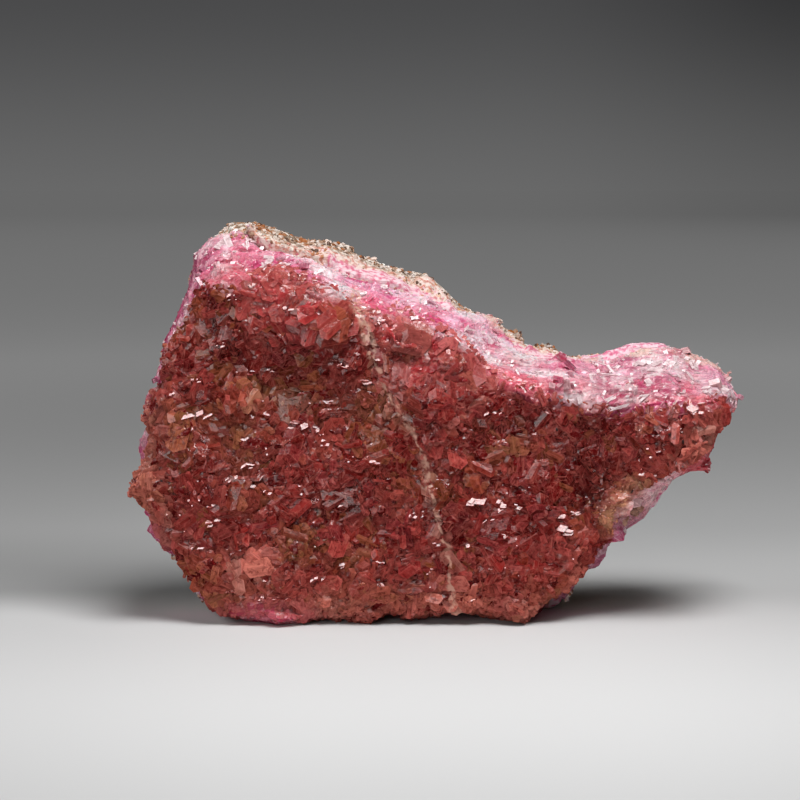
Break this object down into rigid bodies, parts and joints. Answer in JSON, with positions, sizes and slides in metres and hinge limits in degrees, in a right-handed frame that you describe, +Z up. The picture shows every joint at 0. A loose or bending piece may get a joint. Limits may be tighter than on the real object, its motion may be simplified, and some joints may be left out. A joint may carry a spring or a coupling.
{
  "type": "cobaltoan calcite specimen",
  "caption": "Slab of dark red to pink cobaltoan calcite, a crust of grown-together crystals on brown host rock, standing on its cut lower edge.",
  "frame": {"origin": "on the surface that the specimen stands on, below the middle of its box", "axes": "+X along the slab's width, to the right when its crystal face is looked at; +Y from the crystal face to the back; +Z up"},
  "size_m": [0.1256, 0.0418, 0.0807],
  "materials": {
    "calcite": "vitreous, translucent dark red crystals with paler pink broken edges",
    "rock": "dull granular brown and grey limestone with cream calcite and rusty stains"
  },
  "bodies": {
    "root": {"calcite_crust": "calcite", "host_rock": "rock"}
  },
  "joints": []
}
